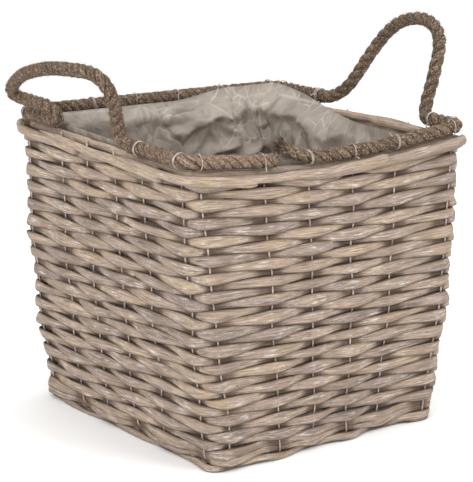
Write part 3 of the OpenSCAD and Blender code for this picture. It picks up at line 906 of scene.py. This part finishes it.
class BASKET_OT_tie_wires(bpy.types.Operator):
    """Twist the tie wires round the rope and finish the stake wires"""

    bl_idname = "basket.tie_wires"
    bl_label = "Tie wires"

    def execute(self, context):
        rope = context.scene.basket_rope
        steel = steel_material()
        rng = random.Random(47)
        w, d, z, r = rim_line()
        reach_x, reach_y = w - r, d - r
        across = [float(v) for v in stake_place(np.arange(STAKES), reach_x)]
        along = [float(v) for v in stake_place(np.arange(STAKES), reach_y)]
        spots = [((x, side * d), (1, 0), (0, side)) for x in across for side in (-1, 1)]
        spots += [((-w, y), (0, 1), (-1, 0)) for y in along if not between(y, LEFT_FEET)]
        feet = [RIGHT_FEET[0] - 0.006, RIGHT_FEET[1] + 0.006]
        spots += [((w, y), (0, 1), (1, 0)) for y in [*feet, *along] if not between(y, RIGHT_FEET)]
        bundle = Bundle()
        for (x, y), run, out in spots:
            self.tie(bundle, rng, np.array([x, y, z]), np.array([*run, 0.0]), np.array([*out, 0.0]), rope)
        settle(bundle.finish("twisted_ties", steel, 1e-7), "wire", "rope_ties")
        for name in WIRES:
            j = int(name.rsplit("_", 1)[1]) - 1
            ends = (18 + j, 11 - j) if "across" in name else (17 - j, j)
            piece = Bundle()
            self.stake(piece, ends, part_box(name)[0].z, thick=0.0025)
            settle(piece.finish("bent_" + name, steel, 1e-7), "wire", name)
        return {"FINISHED"}

    @staticmethod
    def stake(bundle, ends, low, thick):
        """One wire: down one wall from its tie or bare tip, across the floor and up the opposite wall."""
        r = thick / 2
        legs = []
        for s in ends:
            foot, out = on_wall(float(s), low + r)
            bare = between(foot[1], LEFT_FEET if s >= 3 * STAKES else RIGHT_FEET)
            top = WALL_TOP + (0.0005 if bare else -0.0145)
            line, _ = on_wall(np.full(16, float(s)), np.linspace(top, low + 0.006, 16))
            bend = np.array([foot - out * 0.0008, foot - out * 0.004])
            legs.append(np.vstack([line, bend]))
        points = np.vstack([legs[0], legs[1][::-1]])
        side = np.cross(unit(legs[1][-1] - legs[0][-1]), [0.0, 0.0, 1.0])
        bundle.sweep(rings_round(points, np.broadcast_to(side, points.shape), thick, thick, 0.0, 8), 0.5)

    @staticmethod
    def tie(bundle, rng, centre, run, out, rope):
        """A wire ring round the rope, and its two ends twisted together."""
        up = np.array([0.0, 0.0, 1.0])
        reach = rope.diameter / 2 + rope.tie_wire * 0.6
        start = rng.choice((-0.7, 2.4, 2.8, 3.4))
        turns = rng.choice((1, 1, 2))
        a = np.linspace(0, 2 * math.pi * turns, 22 * turns + 1)
        drift = (a / a[-1] - 0.5) * rope.tie_wire * 1.6 * turns + 0.0008 * np.sin(a + rng.uniform(0, 6))
        ring = out * np.cos(a + start)[:, None] + up * np.sin(a + start)[:, None]
        slack = reach + 0.0005 * np.sin(2 * a + rng.uniform(0, 6))
        points = centre + ring * slack[:, None] + run * drift[:, None]
        bundle.sweep(rings_round(points, ring, rope.tie_wire, rope.tie_wire, 0.0, 6), 0.5)
        away = out * math.cos(start) + up * math.sin(start)
        foot = centre + away * (reach - 0.0005)
        length = rng.uniform(0.004, 0.009)
        t = np.linspace(0, 1, 15)
        lean = unit(away + run * rng.uniform(-0.6, 0.6) + np.cross(run, away) * rng.uniform(-0.8, 0.8))
        cross = unit(np.cross(lean, run + 0.3 * up))
        third = np.cross(lean, cross)
        thin = rope.tie_wire * 0.85
        for half in (0, math.pi):
            spin = (5.5 * math.pi * t + half)[:, None]
            line = foot + lean * (t * length)[:, None]
            line = line + (cross * np.cos(spin) + third * np.sin(spin)) * rope.tie_wire * 0.5
            bundle.sweep(rings_round(line, np.broadcast_to(cross, line.shape), thin, thin, 0.0, 6), 0.5)


# ---------- liner ----------


class BASKET_OT_hang_liner(bpy.types.Operator):
    """Hang the creased film liner inside the walls"""

    bl_idname = "basket.hang_liner"
    bl_label = "Hang liner"

    def execute(self, context):
        liner = context.scene.basket_liner
        low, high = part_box("liner")
        nu, nv = 456, 130
        bm = bmesh.new()
        bm.loops.layers.uv.new("UVMap")
        bmesh.ops.create_grid(bm, x_segments=nu, y_segments=nv, size=1.0, calc_uvs=True)
        bm.verts.ensure_lookup_table()
        u = np.array([(v.co.x + 1) / 2 for v in bm.verts])
        v = np.array([(v.co.y + 1) / 2 for v in bm.verts])
        place = self.shape(liner, u % 1.0, v, low.z, high.z)
        for vert, co in zip(bm.verts, place.tolist()):
            vert.co = co
        bmesh.ops.remove_doubles(bm, verts=bm.verts, dist=1e-5)
        bmesh.ops.recalc_face_normals(bm, faces=bm.faces)
        for f in bm.faces:
            f.smooth = True
        film = put(bm, "film_liner", film_material(liner))
        settle(film, "film", "liner")
        return {"FINISHED"}

    @staticmethod
    def shape(liner, u, v, floor, top):
        """v runs from the top edge down the walls, and from their foot across the floor to its middle."""
        foot = 0.74
        s = u * ROUND
        down = np.clip(v / foot, 0, 1)
        edge, _ = on_wall(s, np.full_like(s, top))
        x, y = edge[:, 0], edge[:, 1]
        # The edge stands up in front of the rope near the far corner, and lies low along the right wall
        right = step_up(x, 0.17, 0.2)
        proud = step_up(x, 0.02, 0.12) * step_up(y, 0.06, 0.19)
        sunk = right * step_up(-y, -0.13, 0.03) * step_up(y, -0.2, -0.12)
        lip = top + 0.001 + 0.012 * proud - 0.020 * sunk
        height = lip + (floor + 0.001 - lip) * down**1.05
        points, out = on_wall(s, height)
        neck = step_up(height, 0.366, 0.384)
        inset = 0.0088 + 0.0062 * neck
        belly = np.zeros_like(u)
        for k in range(len(u)):
            q = Vector((points[k, 0], points[k, 1], height[k] * 0.8))
            a = noise.noise(q * 9.0)
            b = 1 - abs(noise.noise(q * 17.0 + Vector((3, 1, 7)))) * 2
            c = 1 - abs(noise.noise(q * 38.0 + Vector((1, 5, 2)))) * 2
            belly[k] = 0.5 + 0.7 * a + 0.5 * b * abs(b) + 0.3 * c * abs(c)
        room = step_up(down, 0.0, 0.09) * (1 - step_up(down, 0.9, 1.0))
        room = room * (0.35 + 0.65 * step_up(height, 0.2, 0.33))
        far = step_up(y, 0.1, 0.2) * step_up(x, -0.02, 0.14) + 0.6 * right * step_up(y, -0.1, 0.15)
        belly = np.clip(belly, 0, 2) * liner.billow * room * (0.7 + 1.9 * np.clip(far, 0, 1))
        inset = inset + belly
        points = points - out * inset[:, None]
        # The floor shrinks towards its middle
        inward = np.clip((v - foot) / (1 - foot), 0, 1)
        keep = 1 - inward
        points[:, 0] *= np.where(inward > 0, keep, 1)
        points[:, 1] *= np.where(inward > 0, keep, 1)
        ripple = np.array([noise.noise(Vector((a * 14, b * 14, 2.0))) for a, b in points[:, :2]])
        points[:, 2] += np.where(inward > 0, 0.004 * (0.6 + ripple) * step_up(inward, 0, 0.2), 0)
        return points


# ---------- stage ----------


def area_light(name, place, target, size, power, colour=(1, 1, 1)):
    light = bpy.data.lights.new(name, "AREA")
    light.shape, light.size, light.energy, light.color = "SQUARE", size, power, colour
    lamp = bpy.data.objects.new(name, light)
    lamp.location = place
    lamp.rotation_euler = (Vector(target) - Vector(place)).to_track_quat("-Z", "Y").to_euler()
    bpy.context.scene.collection.objects.link(lamp)


class BASKET_OT_set_stage(bpy.types.Operator):
    """Set the pale floor, the soft lights and the camera"""

    bl_idname = "basket.set_stage"
    bl_label = "Set stage"

    def execute(self, context):
        scene = context.scene
        stage = scene.basket_stage
        bm = bmesh.new()
        bmesh.ops.create_grid(bm, x_segments=1, y_segments=1, size=14.0)
        bmesh.ops.translate(bm, verts=bm.verts, vec=(0, 0, -0.0005))
        p = Paint("pale_floor")
        tint = p.mix(p.ramp(p.lumps(1.2), 0.3, 0.7), (0.91, 0.91, 0.905, 1), (0.93, 0.93, 0.925, 1))
        floor = put(bm, "floor", p.set(Base_Color=tint, Roughness=0.9, Specular_IOR_Level=0.1), False)

        world = bpy.data.worlds.new("studio")
        world.use_nodes = True
        sky = world.node_tree.nodes["Background"]
        sky.inputs["Color"].default_value = (1.0, 1.0, 1.0, 1)
        sky.inputs["Strength"].default_value = 1.06
        scene.world = world
        area_light("key", (1.2, -2.6, 2.3), (0, 0, 0.2), 1.6, 46)
        area_light("fill", (-2.6, -1.3, 1.5), (0, 0, 0.2), 1.8, 44)
        area_light("top", (0.2, 0.3, 2.6), (0, 0, 0.2), 1.5, 16)

        camera = bpy.data.cameras.new("camera")
        camera.lens, camera.sensor_width, camera.sensor_fit = 141.4, 36.0, "HORIZONTAL"
        camera.shift_x, camera.shift_y = -0.001, 0.0530
        camera.clip_start, camera.clip_end = 0.1, 40
        eye = bpy.data.objects.new("camera", camera)
        target = Vector((0, 0, 0.2025))
        back = Vector(
            (
                math.sin(stage.turn) * math.cos(stage.rise),
                -math.cos(stage.turn) * math.cos(stage.rise),
                math.sin(stage.rise),
            )
        )
        eye.location = target + back * stage.distance
        eye.rotation_euler = (-back).to_track_quat("-Z", "Y").to_euler()
        scene.collection.objects.link(eye)
        scene.camera = eye
        scene.view_settings.view_transform = "Standard"
        return {"FINISHED"}


class BASKET_PT_pieces(bpy.types.Panel):
    """Lists the steps that make the basket, and their settings."""

    bl_idname = "BASKET_PT_pieces"
    bl_label = "Willow basket"
    bl_space_type = "VIEW_3D"
    bl_region_type = "UI"
    bl_category = "Basket"

    def draw(self, context):
        for step in STEPS:
            self.layout.operator(step.bl_idname)
        for name in SETTINGS:
            group = getattr(context.scene, name)
            box = self.layout.box()
            for setting in group.__annotations__:
                box.prop(group, setting)


STEPS = (
    BASKET_OT_set_stage,
    BASKET_OT_weave_walls,
    BASKET_OT_lay_base,
    BASKET_OT_lay_border,
    BASKET_OT_lay_rope,
    BASKET_OT_tie_wires,
    BASKET_OT_hang_liner,
)
SETTINGS = {
    "basket_weave": WeaveSettings,
    "basket_rope": RopeSettings,
    "basket_liner": LinerSettings,
    "basket_stage": StageSettings,
}


def register():
    for made in (*SETTINGS.values(), *STEPS, BASKET_PT_pieces):
        bpy.utils.register_class(made)
    for name, group in SETTINGS.items():
        setattr(bpy.types.Scene, name, PointerProperty(type=group))


def unregister():
    for name in SETTINGS:
        delattr(bpy.types.Scene, name)
    for made in (BASKET_PT_pieces, *reversed(STEPS), *reversed(SETTINGS.values())):
        bpy.utils.unregister_class(made)


def main():
    register()
    bpy.ops.basket.set_stage()
    bpy.ops.basket.weave_walls()
    bpy.ops.basket.lay_base()
    bpy.ops.basket.lay_border()
    bpy.ops.basket.lay_rope()
    bpy.ops.basket.tie_wires()
    bpy.ops.basket.hang_liner()


if __name__ == "__main__":
    main()
